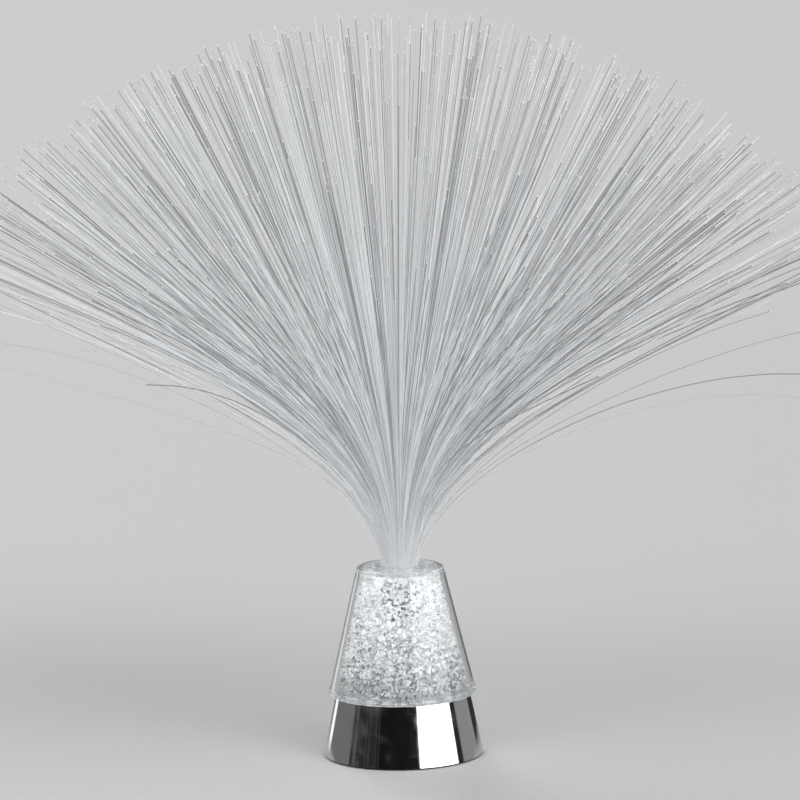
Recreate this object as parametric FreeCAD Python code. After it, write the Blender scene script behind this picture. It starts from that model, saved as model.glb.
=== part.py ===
import FreeCAD, Part
import math
import os
import random

# Battery-run fibre optic lamp.  A chrome-plated base carries a clear cone filled with crystal
# chips.  A plug with a spray of plastic fibres stands in a clear tube down the middle of the
# cone, and lamps on a board below the cone light the fibres and the chips.
#
# Millimetres.  Z is up, the origin lies on the ground under the middle of the base, and the
# three cells lie along X.

# Base shell
FOOT_PROUD = 0.8
BASE_HEIGHT = 27.7
BASE_BOTTOM_RADIUS = 36.15
BASE_TOP_RADIUS = 30.35
SHELL_WALL = 1.8
SHELL_RIM_THICKNESS = 2.0
SHELL_RIM_WIDTH = 2.25
SHELL_TOP_ROUND = 0.7
BOSS_EDGE = 6.0
BOSS_ANGLES = (66.0, 114.0, 246.0, 294.0)
BOSS_RADIUS = 3.2
BOSS_HEIGHT = 12.0
BOSS_RIB = 1.6

# Bottom cover, its screws and feet
COVER_THICKNESS = 2.5
COVER_GAP = 0.2
COVER_SCREW_RADIUS = 1.1
COVER_SCREW_LENGTH = 8.0
COVER_SCREW_HEAD_RADIUS = 2.4
COVER_SCREW_HEAD_HEIGHT = 1.2
SCREW_HEAD_SUNK = 0.2
SCREW_GAP = 0.1
SCREW_THREAD_GAP = 0.05
CROSS_SLOT_WIDTH = 0.6
CROSS_SLOT_DEPTH = 0.5
CROSS_SLOT_SHARE = 0.7
FOOT_RADIUS = 2.9
FOOT_EDGE = 1.0
FOOT_DOOR_SPACE = 0.6
FOOT_SUNK = 0.8

# Cells, well and contacts
CELL_RADIUS = 5.25
CELL_LENGTH = 44.5
CELL_NUB_RADIUS = 1.9
CELL_NUB_LENGTH = 1.0
CELL_SPACE = 0.3
WELL_WALL = 1.2
WELL_CORNER_RADIUS = 3.6
CONTACT_THICKNESS = 0.4
CONTACT_WIDTH = 5.6
CONTACT_HEIGHT = 7.6
CONTACT_GAP = 0.05
TAB_WIDTH = 2.0
SPRING_LENGTH = 5.6
SPRING_WIRE = 0.6
SPRING_WIDE_RADIUS = 2.9
SPRING_NARROW_RADIUS = 2.0
SPRING_TURNS = 3
SPRING_STEPS_PER_TURN = 10

# Battery door
DOOR_THICKNESS = 1.5
DOOR_LEDGE = 1.0
DOOR_GAP = 0.2
KNUCKLE_RADIUS = 0.9
KNUCKLE_LENGTH = 6.0
KNUCKLE_SPACING = 20.0
HINGE_GAP = 0.3
HINGE_PIN_RADIUS = 0.45
HINGE_PIN_LENGTH = 9.0
HINGE_PIN_GAP = 0.04
LATCH_WIDTH = 9.0
LATCH_LENGTH = 8.0
LATCH_SLOT = 0.8
LATCH_NOSE = 0.5
LATCH_GAP = 0.3
GRIP_COUNT = 3
GRIP_PITCH = 1.6
GRIP_WIDTH = 0.8
GRIP_DEPTH = 0.4
PAD_LENGTH = 38.0
PAD_WIDTH = 27.0
PAD_THICKNESS = 1.0

# Slide switch
SWITCH_WELL_SPACE = 2.95
SWITCH_LENGTH = 11.0
SWITCH_WIDTH = 5.0
SWITCH_HEIGHT = 4.6
SWITCH_WALL = 0.8
SLIDER_LENGTH = 5.0
SLIDER_HEIGHT = 2.2
SWITCH_TRAVEL = 2.0
SWITCH_GAP = 0.15
KNOB_LENGTH = 2.4
KNOB_WIDTH = 2.0
KNOB_PROUD = 0.4
KNOB_GAP = 0.3
KNOB_GROOVE_WIDTH = 0.5
KNOB_GROOVE_DEPTH = 0.3
TERMINAL_COUNT = 3
TERMINAL_PITCH = 3.0
TERMINAL_WIDTH = 1.4
TERMINAL_THICKNESS = 0.5
TERMINAL_HEIGHT = 3.0

# Lamp board and wiring
POST_COUNT = 3
POST_HEIGHT = 2.0
POST_RADIUS = 2.2
POST_CIRCLE_RADIUS = 12.4
BOARD_RADIUS = 16.0
BOARD_THICKNESS = 1.2
BOARD_SCREW_RADIUS = 0.8
BOARD_SCREW_HEAD_RADIUS = 1.6
BOARD_SCREW_HEAD_HEIGHT = 1.0
BOARD_SCREW_BITE = 1.8
LED_SIZE = 5.0
LED_HEIGHT = 1.6
LED_DISH_RADIUS = 2.0
LED_DISH_DEPTH = 0.3
LED_CIRCLE_RADIUS = 5.4
LED_COUNT = 4
CHIP_LENGTH = 6.0
CHIP_WIDTH = 4.0
CHIP_HEIGHT = 1.4
RESISTOR_COUNT = 3
RESISTOR_LENGTH = 2.0
RESISTOR_WIDTH = 1.2
RESISTOR_HEIGHT = 0.6
RESISTOR_PITCH = 3.0
REFLECTOR_WALL = 0.8
REFLECTOR_FOOT_RADIUS = 15.0
REFLECTOR_SIDE_SPACE = 2.9
REFLECTOR_GAP = 0.3
LEAD_DIAMETER = 1.0
LEAD_BEND = 0.7
LEAD_STUB = 0.2
LEAD_SIDE_COUNT = 6
LEAD_END_RADIUS = 11.0

# Clear cone, tray and socket tube
CONE_HEIGHT = 57.9
CONE_FLANGE_PROUD = 3.05
CONE_FLANGE_THICKNESS = 2.1
CONE_FLANGE_STEP = 0.5
CONE_TOP_RADIUS = 19.6
CONE_WALL = 2.0
CONE_RIM_WIDTH = 2.2
CONE_RIM_ROUND = 0.9
CONE_RIM_INNER_ROUND = 0.4
CONE_FLANGE_ROUND = 0.7
DECK_DROP = 0.6
DECK_THICKNESS = 1.2
SPIGOT_WALL = 1.6
SPIGOT_DEPTH = 3.5
SPIGOT_GAP = 0.2
HOOK_COUNT = 4
HOOK_WIDTH = 5.0
HOOK_PROUD = 1.0
TRAY_THICKNESS = 1.6
TRAY_LEDGE = 1.0
TRAY_GAP = 0.1
TUBE_BORE_RADIUS = 10.4
TUBE_WALL = 1.2
TUBE_GAP = 0.2
TUBE_COLLAR_WALL = 1.0
TUBE_COLLAR_HEIGHT = 1.5

# Crystal chips
CHIP_PITCH = 7.2
CHIP_SPACE = 0.3
CHIP_TABLE_SHARE = 0.55
CHIP_GIRDLE_SHARES = (0.03, 0.14)
CHIP_FOOT_SHIFT = 0.3
CHIP_WALL_GAP = 0.5

# Plug, ring and ferrule
PLUG_LENGTH = 24.5
PLUG_FIT_GAP = 0.2
PLUG_WALL = 1.45
PLUG_FLANGE_RADIUS = 13.9
PLUG_FLANGE_THICKNESS = 1.6
PLUG_FLANGE_ROUND = 0.6
GROOVE_UP = 13.4
GROOVE_WIDTH = 1.2
GROOVE_DEPTH = 0.9
RING_FIT_GAP = 0.05
RING_SIDE_GAP = 0.1
FERRULE_LENGTH = 12.0
FERRULE_WALL = 0.25
FERRULE_GAP = 0.05

# Fibres
FIBRE_DIAMETER = 0.75
FIBRE_SIDE_COUNT = 4
FIBRE_RING_COUNT = 8
FIBRE_FREE_LENGTH = 250.0
FIBRE_LENGTH_SPREAD = 5.0
FIBRE_BUNDLE_GAP = 0.1
FIBRE_BEND_LENGTH = 27.0
FIBRE_BEND_SHARES = (0.25, 0.5, 0.75, 0.95)
FIBRE_LEG_STEP_COUNT = 10
FIBRE_OUTER_LEAN = 59.0
FIBRE_LEAN_SPREAD = 2.2
STRAY_LEAN = 68.0
STRAY_EVERY = 12
STRAY_FIRST = 3

# The sizes of round edges are matched to this
EDGE_TOLERANCE = 0.01

# Heights, from the ground up
cover_bottom = FOOT_PROUD
cover_top = cover_bottom + COVER_THICKNESS
door_top = cover_bottom + DOOR_THICKNESS
pad_top = door_top + PAD_THICKNESS
cell_axis = max(pad_top, cover_top) + CELL_SPACE + CELL_RADIUS
roof_bottom = cell_axis + CELL_RADIUS + CELL_SPACE
roof_top = roof_bottom + WELL_WALL
board_bottom = roof_top + POST_HEIGHT
board_top = board_bottom + BOARD_THICKNESS
lead_height = board_bottom - LEAD_STUB - LEAD_BEND
shell_top = FOOT_PROUD + BASE_HEIGHT
rim_bottom = shell_top - SHELL_RIM_THICKNESS
tray_bottom = shell_top - SPIGOT_DEPTH
tray_top = tray_bottom + TRAY_THICKNESS
cone_floor = shell_top + CONE_FLANGE_THICKNESS
cone_top = shell_top + CONE_HEIGHT
deck_top = cone_top - DECK_DROP
deck_bottom = deck_top - DECK_THICKNESS
plug_bottom = deck_top - PLUG_LENGTH + PLUG_FLANGE_THICKNESS
plug_top = deck_top + PLUG_FLANGE_THICKNESS

# Well and door, in plan
cell_pitch = 2 * CELL_RADIUS + CELL_SPACE
well_half_length = (CELL_LENGTH + SPRING_LENGTH) / 2 + CONTACT_THICKNESS + CONTACT_GAP
well_half_width = cell_pitch + CELL_RADIUS + CELL_SPACE
rebate_right = well_half_length + DOOR_LEDGE
rebate_half_width = well_half_width + DOOR_LEDGE
hinge_x = KNUCKLE_RADIUS + HINGE_GAP - rebate_right
hinge_z = cover_bottom + KNUCKLE_RADIUS
opening_left = hinge_x + KNUCKLE_RADIUS + HINGE_GAP
door_left = hinge_x + math.hypot(opening_left - hinge_x, hinge_z - cover_bottom) + HINGE_GAP
door_right = rebate_right - DOOR_GAP
door_half_width = rebate_half_width - DOOR_GAP

# Feet, bosses and switch, in plan
cover_radius = BASE_BOTTOM_RADIUS - SHELL_WALL - COVER_GAP
boss_circle_radius = cover_radius - BOSS_EDGE
foot_circle_radius = cover_radius - FOOT_EDGE - FOOT_RADIUS
foot_y = rebate_half_width + FOOT_DOOR_SPACE + FOOT_RADIUS
foot_x = math.sqrt(foot_circle_radius ** 2 - foot_y ** 2)
switch_y = -(well_half_width + WELL_WALL + SWITCH_WELL_SPACE + SWITCH_WIDTH / 2)

# Radii of the pieces round the middle
spigot_radius = BASE_TOP_RADIUS - SHELL_RIM_WIDTH - SPIGOT_GAP
spigot_bore_radius = spigot_radius - SPIGOT_WALL
reflector_top_radius = spigot_bore_radius - REFLECTOR_SIDE_SPACE
flange_radius = BASE_TOP_RADIUS + CONE_FLANGE_PROUD
tube_radius = TUBE_BORE_RADIUS + TUBE_WALL
plug_radius = TUBE_BORE_RADIUS - PLUG_FIT_GAP
plug_bore_radius = plug_radius - PLUG_WALL
groove_radius = plug_radius - GROOVE_DEPTH
ferrule_radius = plug_bore_radius - FERRULE_GAP
ferrule_bore_radius = ferrule_radius - FERRULE_WALL
fibre_half_width = FIBRE_DIAMETER * math.sqrt(math.pi) / 4
outer_ring_radius = ferrule_bore_radius - FIBRE_BUNDLE_GAP - fibre_half_width
ring_pitch = outer_ring_radius / FIBRE_RING_COUNT

ORIGIN = FreeCAD.Vector(0, 0, 0)
AXIS_Y = FreeCAD.Vector(0, 1, 0)
AXIS_Z = FreeCAD.Vector(0, 0, 1)

chip_chance = random.Random(7)
fibre_chance = random.Random(23)


def point(x, y, z):
    return FreeCAD.Vector(x, y, z)


def save(name, shape):
    """Write one sub-part, given as a solid or as a list of separate solids."""
    if isinstance(shape, list):
        shape = Part.makeCompound(shape)
    shape.exportStep("parts/" + name + ".step")


def revolve(outline):
    """A solid of revolution about Z from a closed outline of (radius, height) corners."""
    corners = [point(radius, 0, height) for radius, height in outline]
    return Part.Face(Part.makePolygon(corners + corners[:1])).revolve(ORIGIN, AXIS_Z, 360)


def cylinder(radius, bottom, top, x=0.0, y=0.0):
    return Part.makeCylinder(radius, top - bottom, point(x, y, bottom))


def cylinder_along_y(radius, length, x, y, z):
    return Part.makeCylinder(radius, length, point(x, y - length / 2, z), AXIS_Y)


def tube(bore, radius, bottom, top):
    return revolve([(bore, bottom), (radius, bottom), (radius, top), (bore, top)])


def block(left, right, front, back, bottom, top):
    return Part.makeBox(right - left, back - front, top - bottom, point(left, front, bottom))


def centred_block(length, width, bottom, top, x=0.0, y=0.0):
    return block(x - length / 2, x + length / 2, y - width / 2, y + width / 2, bottom, top)


def rounded_block(half_length, half_width, corner, bottom, top):
    """A block with rounded upright edges."""
    box = centred_block(2 * half_length, 2 * half_width, bottom, top)
    upright = [edge for edge in box.Edges if abs(edge.tangentAt(edge.FirstParameter).z) > 0.5]
    return box.makeFillet(corner, upright)


def turned(shape, degrees):
    """A copy of a shape, turned about Z."""
    copy = shape.copy()
    copy.rotate(ORIGIN, AXIS_Z, degrees)
    return copy


def round_rim(shape, rounding, radius, height):
    """Round the circular edge that has a radius and lies at a height."""
    chosen = []
    for edge in shape.Edges:
        if not isinstance(edge.Curve, Part.Circle):
            continue
        same_size = abs(edge.Curve.Radius - radius) < EDGE_TOLERANCE
        if same_size and abs(edge.Curve.Center.z - height) < EDGE_TOLERANCE:
            chosen.append(edge)
    return shape.makeFillet(rounding, chosen)


def at_angle(radius, angle):
    """The (x, y, angle) place at a radius and an angle in degrees."""
    turn = math.radians(angle)
    return radius * math.cos(turn), radius * math.sin(turn), angle


def on_circle(count, radius, first_angle=0.0):
    """The (x, y, angle) places of equal steps round a circle."""
    return [at_angle(radius, first_angle + index * 360.0 / count) for index in range(count)]


def flat_face(corners):
    return Part.Face(Part.makePolygon(corners + corners[:1]))


def faceted_solid(faces):
    solid = Part.Solid(Part.Shell(faces))
    if solid.Volume < 0:
        solid.reverse()
    return solid


def bar(sections, twisted=False):
    """A solid through a run of cross-sections that have the same number of corners."""
    count = len(sections[0])
    faces = [flat_face(sections[0]), flat_face(sections[-1])]
    for lower, upper in zip(sections, sections[1:]):
        for index in range(count):
            after = (index + 1) % count
            if twisted:
                faces.append(flat_face([lower[index], lower[after], upper[after]]))
                faces.append(flat_face([lower[index], upper[after], upper[index]]))
            else:
                faces.append(flat_face([lower[index], lower[after], upper[after], upper[index]]))
    return faceted_solid(faces)


def section_corners(diameter, sides):
    """The corners of a regular section with the area of a circle, one side facing across."""
    fill = math.sqrt(2 * math.pi / (sides * math.sin(2 * math.pi / sides)))
    corners = []
    for index in range(sides):
        turn = (2 * index + 1) * math.pi / sides
        corners.append((diameter / 2 * fill * math.cos(turn), diameter / 2 * fill * math.sin(turn)))
    return corners


def mitred_bar(path, section):
    """A bar along (across, up) points in the upright plane Y=0, with mitred corners."""
    legs = [(b[0] - a[0], b[1] - a[1]) for a, b in zip(path, path[1:])]
    headings = [math.atan2(up, across) for across, up in legs]
    sections = []
    for index, (across, up) in enumerate(path):
        before = headings[max(index - 1, 0)]
        after = headings[min(index, len(headings) - 1)]
        side = (before + after) / 2 - math.pi / 2
        stretch = 1 / math.cos((after - before) / 2)
        ring = []
        for out, sideways in section:
            reach = out * stretch
            ring.append(point(across + reach * math.cos(side), sideways, up + reach * math.sin(side)))
        sections.append(ring)
    return bar(sections)


# The base

def shell_radius(height):
    """The outer radius of the base shell at a height."""
    rise = (height - cover_bottom) / BASE_HEIGHT
    return BASE_BOTTOM_RADIUS + rise * (BASE_TOP_RADIUS - BASE_BOTTOM_RADIUS)


def shell_inside(height):
    return shell_radius(height) - SHELL_WALL


def boss_places():
    return [at_angle(boss_circle_radius, angle) for angle in BOSS_ANGLES]


def make_base_shell():
    rim_bore = spigot_radius + SPIGOT_GAP
    shell = revolve([
        (BASE_BOTTOM_RADIUS, cover_bottom),
        (BASE_TOP_RADIUS, shell_top),
        (rim_bore, shell_top),
        (rim_bore, rim_bottom),
        (shell_inside(rim_bottom), rim_bottom),
        (shell_inside(cover_bottom), cover_bottom),
    ])
    shell = round_rim(shell, SHELL_TOP_ROUND, BASE_TOP_RADIUS, shell_top)
    hollow = revolve([
        (0, cover_bottom),
        (shell_radius(cover_bottom) - SHELL_WALL / 2, cover_bottom),
        (shell_radius(rim_bottom) - SHELL_WALL / 2, rim_bottom),
        (0, rim_bottom),
    ])
    boss_top = cover_top + BOSS_HEIGHT
    for x, y, angle in boss_places():
        boss = cylinder(BOSS_RADIUS, cover_top, boss_top, x, y)
        rib = block(boss_circle_radius, BASE_BOTTOM_RADIUS, -BOSS_RIB / 2, BOSS_RIB / 2,
                    cover_top, boss_top)
        rib.rotate(ORIGIN, AXIS_Z, angle)
        pilot = cylinder(COVER_SCREW_RADIUS, cover_top, cover_top + COVER_SCREW_LENGTH, x, y)
        shell = shell.fuse(boss.fuse(rib).common(hollow)).cut(pilot)
    return shell.removeSplitter()


def rebate_cut():
    """The step that the battery door lies in, and the opening into the well."""
    step = block(opening_left, rebate_right, -rebate_half_width, rebate_half_width,
                 cover_bottom, door_top + DOOR_GAP / 2)
    opening = block(opening_left, well_half_length, -well_half_width, well_half_width,
                    cover_bottom, cover_top)
    notch = block(rebate_right, rebate_right + LATCH_NOSE + LATCH_GAP,
                  -LATCH_WIDTH / 2 - LATCH_GAP, LATCH_WIDTH / 2 + LATCH_GAP,
                  cover_bottom, door_top + DOOR_GAP / 2)
    return step.fuse([opening, notch])


def hinge_cut():
    """Pockets for the door's two knuckles, and the holes of their pins."""
    cuts = []
    pocket_left = hinge_x - KNUCKLE_RADIUS - HINGE_GAP
    pocket_top = hinge_z + KNUCKLE_RADIUS + HINGE_GAP
    half_pocket = KNUCKLE_LENGTH / 2 + HINGE_GAP
    for side in (-1, 1):
        y = side * KNUCKLE_SPACING / 2
        cuts.append(block(pocket_left, opening_left, y - half_pocket, y + half_pocket,
                          cover_bottom, pocket_top))
        cuts.append(cylinder_along_y(HINGE_PIN_RADIUS, HINGE_PIN_LENGTH, hinge_x, y, hinge_z))
    return cuts[0].fuse(cuts[1:])


def tab_slots():
    """Slots in the well's roof for the solder tabs of the two end contacts."""
    slots = []
    for side, y in ((1, -cell_pitch), (-1, cell_pitch)):
        x = side * (well_half_length - CONTACT_THICKNESS / 2)
        slots.append(centred_block(CONTACT_THICKNESS + CONTACT_GAP, TAB_WIDTH + CONTACT_GAP,
                                   roof_bottom, roof_top, x, y))
    return slots


def foot_places():
    return [(side * foot_x, end * foot_y) for side in (-1, 1) for end in (-1, 1)]


def make_bottom_cover():
    """The cover plate and the battery well on it, kept clear of the tapering shell."""
    plate = cylinder(BASE_BOTTOM_RADIUS, cover_bottom, cover_top)
    room = revolve([
        (0, cover_bottom),
        (cover_radius, cover_bottom),
        (shell_inside(board_bottom) - COVER_GAP, board_bottom),
        (0, board_bottom),
    ])
    well = rounded_block(well_half_length + WELL_WALL, well_half_width + WELL_WALL,
                         WELL_CORNER_RADIUS, cover_top, roof_top)
    inside = rounded_block(well_half_length, well_half_width,
                           WELL_CORNER_RADIUS - WELL_WALL, cover_top, roof_bottom)
    posts = [cylinder(POST_RADIUS, roof_top, board_bottom, x, y)
             for x, y, angle in on_circle(POST_COUNT, POST_CIRCLE_RADIUS, 90.0)]
    cover = plate.fuse([well.cut(inside)] + posts).common(room)
    cuts = [rebate_cut(), hinge_cut()] + tab_slots()
    pilot_bottom = board_top - BOARD_THICKNESS - BOARD_SCREW_BITE
    for x, y, angle in on_circle(POST_COUNT, POST_CIRCLE_RADIUS, 90.0):
        cuts.append(cylinder(BOARD_SCREW_RADIUS, pilot_bottom, board_bottom, x, y))
    for x, y, angle in boss_places():
        cuts.append(cylinder(COVER_SCREW_RADIUS + SCREW_GAP, cover_bottom, cover_top, x, y))
        cuts.append(cylinder(COVER_SCREW_HEAD_RADIUS + COVER_GAP, cover_bottom,
                             cover_bottom + SCREW_HEAD_SUNK + COVER_SCREW_HEAD_HEIGHT, x, y))
    for x, y in foot_places():
        cuts.append(cylinder(FOOT_RADIUS, cover_bottom, cover_bottom + FOOT_SUNK, x, y))
    slot_length = KNOB_LENGTH + SWITCH_TRAVEL + 2 * KNOB_GAP
    cuts.append(centred_block(slot_length, KNOB_WIDTH + 2 * KNOB_GAP, cover_bottom, cover_top,
                              0, switch_y))
    return cover.cut(cuts).removeSplitter()


def make_feet():
    feet = []
    for x, y in foot_places():
        foot = cylinder(FOOT_RADIUS, 0, cover_bottom + FOOT_SUNK, x, y)
        lower = [edge for edge in foot.Edges if edge.BoundBox.ZMax < FOOT_PROUD / 2]
        feet.append(foot.makeChamfer(FOOT_PROUD / 2, lower))
    return feet


def screw(x, y, seat, radius, length, head_radius, head_height, upward):
    """A cross-slotted screw with its head seated at a height, driven up or down."""
    head_side = -1 if upward else 1
    shank_end = seat - head_side * length
    head_end = seat + head_side * head_height
    shank = cylinder(radius, min(seat, shank_end), max(seat, shank_end), x, y)
    head = cylinder(head_radius, min(seat, head_end), max(seat, head_end), x, y)
    body = head.fuse(shank).removeSplitter()
    slot_end = head_end - head_side * CROSS_SLOT_DEPTH
    low, high = min(head_end, slot_end), max(head_end, slot_end)
    slot_length = 2 * head_radius * CROSS_SLOT_SHARE
    across = centred_block(slot_length, CROSS_SLOT_WIDTH, low, high, x, y)
    along = centred_block(CROSS_SLOT_WIDTH, slot_length, low, high, x, y)
    return body.cut(across.fuse(along))


def make_cover_screws():
    seat = cover_bottom + SCREW_HEAD_SUNK + COVER_SCREW_HEAD_HEIGHT
    return [screw(x, y, seat, COVER_SCREW_RADIUS - SCREW_THREAD_GAP, COVER_SCREW_LENGTH,
                  COVER_SCREW_HEAD_RADIUS, COVER_SCREW_HEAD_HEIGHT, True)
            for x, y, angle in boss_places()]


# Cells and contacts

def cell_rows():
    """The (row, y, direction) of each cell, where direction is the side of its positive end."""
    return [(1, -cell_pitch, 1), (2, 0.0, -1), (3, cell_pitch, 1)]


def make_cell(y, direction):
    """One cell, whose nub reaches to the flat contact at its positive end."""
    nub_end = well_half_length - CONTACT_THICKNESS - CONTACT_GAP
    outline = [
        (0, nub_end - CELL_LENGTH),
        (CELL_RADIUS, nub_end - CELL_LENGTH),
        (CELL_RADIUS, nub_end - CELL_NUB_LENGTH),
        (CELL_NUB_RADIUS, nub_end - CELL_NUB_LENGTH),
        (CELL_NUB_RADIUS, nub_end),
        (0, nub_end),
    ]
    cell = revolve(outline)
    cell.rotate(ORIGIN, AXIS_Y, 90 * direction)
    cell.translate(point(0, y, cell_axis))
    return cell


def contact_plate(side, front_y, back_y):
    """A contact plate against an end wall of the well, from one cell's row to another's."""
    outside = side * well_half_length
    inside = side * (well_half_length - CONTACT_THICKNESS)
    return block(min(outside, inside), max(outside, inside),
                 front_y - CONTACT_WIDTH / 2, back_y + CONTACT_WIDTH / 2,
                 cell_axis - CONTACT_HEIGHT / 2, cell_axis + CONTACT_HEIGHT / 2)


def end_contact(side, y):
    """A contact with a solder tab that stands through the well's roof."""
    tab_top = lead_height - LEAD_DIAMETER / 2
    tab = centred_block(CONTACT_THICKNESS, TAB_WIDTH, cell_axis, tab_top,
                        side * (well_half_length - CONTACT_THICKNESS / 2), y)
    return contact_plate(side, y, y).fuse(tab).removeSplitter()


def make_spring(side, y):
    """A conical contact spring, from its contact plate to the flat end of a cell."""
    half_wire = SPRING_WIRE * math.sqrt(math.pi) / 4
    steps = SPRING_TURNS * SPRING_STEPS_PER_TURN
    start = well_half_length - CONTACT_THICKNESS - half_wire
    run = SPRING_LENGTH - 2 * half_wire - CONTACT_GAP
    sections = []
    for step in range(steps + 1):
        share = step / steps
        turn = 2 * math.pi * step / SPRING_STEPS_PER_TURN
        radius = SPRING_WIDE_RADIUS + share * (SPRING_NARROW_RADIUS - SPRING_WIDE_RADIUS)
        x = start - share * run
        ring = []
        for out, ahead in ((-1, -1), (1, -1), (1, 1), (-1, 1)):
            reach = radius + out * half_wire
            ring.append(point(side * (x + ahead * half_wire), y + reach * math.cos(turn),
                              cell_axis + reach * math.sin(turn)))
        sections.append(ring)
    return bar(sections, twisted=True)


# Battery door

def make_battery_door():
    plate = block(door_left, door_right, -door_half_width, door_half_width,
                  cover_bottom, door_top)
    extras = []
    for side in (-1, 1):
        y = side * KNUCKLE_SPACING / 2
        extras.append(cylinder_along_y(KNUCKLE_RADIUS, KNUCKLE_LENGTH, hinge_x, y, hinge_z))
        extras.append(block(hinge_x, door_left, y - KNUCKLE_LENGTH / 2, y + KNUCKLE_LENGTH / 2,
                            cover_bottom, door_top))
    nose = block(door_right, door_right + LATCH_NOSE, -LATCH_WIDTH / 2, LATCH_WIDTH / 2,
                 (cover_bottom + door_top) / 2, door_top)
    door = plate.fuse(extras + [nose])
    cuts = []
    for side in (-1, 1):
        slot_y = side * (LATCH_WIDTH + LATCH_SLOT) / 2
        cuts.append(block(door_right - LATCH_LENGTH, door_right,
                          slot_y - LATCH_SLOT / 2, slot_y + LATCH_SLOT / 2,
                          cover_bottom, door_top))
        pin_y = side * KNUCKLE_SPACING / 2
        cuts.append(cylinder_along_y(HINGE_PIN_RADIUS + HINGE_PIN_GAP, KNUCKLE_LENGTH,
                                     hinge_x, pin_y, hinge_z))
    for row in range(GRIP_COUNT):
        grip_x = door_right - (row + 1) * GRIP_PITCH
        cuts.append(block(grip_x - GRIP_WIDTH, grip_x, -LATCH_WIDTH / 2, LATCH_WIDTH / 2,
                          cover_bottom, cover_bottom + GRIP_DEPTH))
    return door.cut(cuts).removeSplitter()


def make_hinge_pins():
    return [cylinder_along_y(HINGE_PIN_RADIUS, HINGE_PIN_LENGTH, hinge_x,
                             side * KNUCKLE_SPACING / 2, hinge_z) for side in (-1, 1)]


# Slide switch.  It rests at one end of its travel.

def make_switch_housing():
    case = centred_block(SWITCH_LENGTH, SWITCH_WIDTH, cover_top, cover_top + SWITCH_HEIGHT,
                         0, switch_y)
    room = centred_block(SLIDER_LENGTH + SWITCH_TRAVEL + 2 * SWITCH_GAP,
                         SWITCH_WIDTH - 2 * SWITCH_WALL, cover_top,
                         cover_top + SLIDER_HEIGHT + 2 * SWITCH_GAP, 0, switch_y)
    return case.cut(room)


def make_switch_knob():
    x = -SWITCH_TRAVEL / 2
    slider_width = SWITCH_WIDTH - 2 * SWITCH_WALL - 2 * SWITCH_GAP
    slider = centred_block(SLIDER_LENGTH, slider_width, cover_top + SWITCH_GAP,
                           cover_top + SWITCH_GAP + SLIDER_HEIGHT, x, switch_y)
    knob = centred_block(KNOB_LENGTH, KNOB_WIDTH, cover_bottom - KNOB_PROUD,
                         cover_top + SWITCH_GAP + SLIDER_HEIGHT, x, switch_y)
    knob_end = cover_bottom - KNOB_PROUD
    grooves = [centred_block(KNOB_GROOVE_WIDTH, KNOB_WIDTH, knob_end, knob_end + KNOB_GROOVE_DEPTH,
                             x + side * KNOB_GROOVE_WIDTH, switch_y) for side in (-1, 1)]
    return slider.fuse(knob).cut(grooves).removeSplitter()


def terminal_x(index):
    return (index - (TERMINAL_COUNT - 1) / 2) * TERMINAL_PITCH


def make_switch_terminals():
    bottom = cover_top + SWITCH_HEIGHT
    return [centred_block(TERMINAL_WIDTH, TERMINAL_THICKNESS, bottom, bottom + TERMINAL_HEIGHT,
                          terminal_x(index), switch_y) for index in range(TERMINAL_COUNT)]


# Lamp board, reflector and wiring

def make_lamp_board():
    board = cylinder(BOARD_RADIUS, board_bottom, board_top)
    holes = [cylinder(BOARD_SCREW_RADIUS, board_bottom, board_top, x, y)
             for x, y, angle in on_circle(POST_COUNT, POST_CIRCLE_RADIUS, 90.0)]
    return board.cut(holes)


def make_board_screws():
    length = BOARD_THICKNESS + BOARD_SCREW_BITE
    return [screw(x, y, board_top, BOARD_SCREW_RADIUS - SCREW_THREAD_GAP, length,
                  BOARD_SCREW_HEAD_RADIUS, BOARD_SCREW_HEAD_HEIGHT, False)
            for x, y, angle in on_circle(POST_COUNT, POST_CIRCLE_RADIUS, 90.0)]


def make_leds():
    """Square lamps, each with a dished lens face."""
    top = board_top + LED_HEIGHT
    leds = []
    for x, y, angle in on_circle(LED_COUNT, LED_CIRCLE_RADIUS, 45.0):
        dish = cylinder(LED_DISH_RADIUS, top - LED_DISH_DEPTH, top, x, y)
        leds.append(centred_block(LED_SIZE, LED_SIZE, board_top, top, x, y).cut(dish))
    return leds


def make_controller_chip():
    return centred_block(CHIP_LENGTH, CHIP_WIDTH, board_bottom - CHIP_HEIGHT, board_bottom)


def make_resistors():
    x = CHIP_LENGTH / 2 + RESISTOR_PITCH
    middle = (RESISTOR_COUNT - 1) / 2
    return [centred_block(RESISTOR_LENGTH, RESISTOR_WIDTH, board_bottom - RESISTOR_HEIGHT,
                          board_bottom, x, (index - middle) * RESISTOR_PITCH)
            for index in range(RESISTOR_COUNT)]


def make_reflector():
    top = tray_bottom - REFLECTOR_GAP
    return revolve([
        (REFLECTOR_FOOT_RADIUS - REFLECTOR_WALL, board_top),
        (REFLECTOR_FOOT_RADIUS, board_top),
        (reflector_top_radius, top),
        (reflector_top_radius - REFLECTOR_WALL, top),
    ])


def quarter_bend(across, up, to_level):
    """Four points of a quarter round that starts at a place and ends level or upright."""
    points = []
    for step in range(4):
        turn = math.radians(30.0 * step)
        near = LEAD_BEND * (1 - math.cos(turn))
        far = LEAD_BEND * math.sin(turn)
        if to_level:
            points.append((across + near, up + far))
        else:
            points.append((across + far, up + near))
    return points


def make_lead(start, finish, path):
    """A lead in the upright plane from a start (x, y) towards a finish (x, y)."""
    lead = mitred_bar(path, section_corners(LEAD_DIAMETER, LEAD_SIDE_COUNT))
    lead.rotate(ORIGIN, AXIS_Z, math.degrees(math.atan2(finish[1] - start[1],
                                                        finish[0] - start[0])))
    lead.translate(point(start[0], start[1], 0))
    return lead


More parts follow.
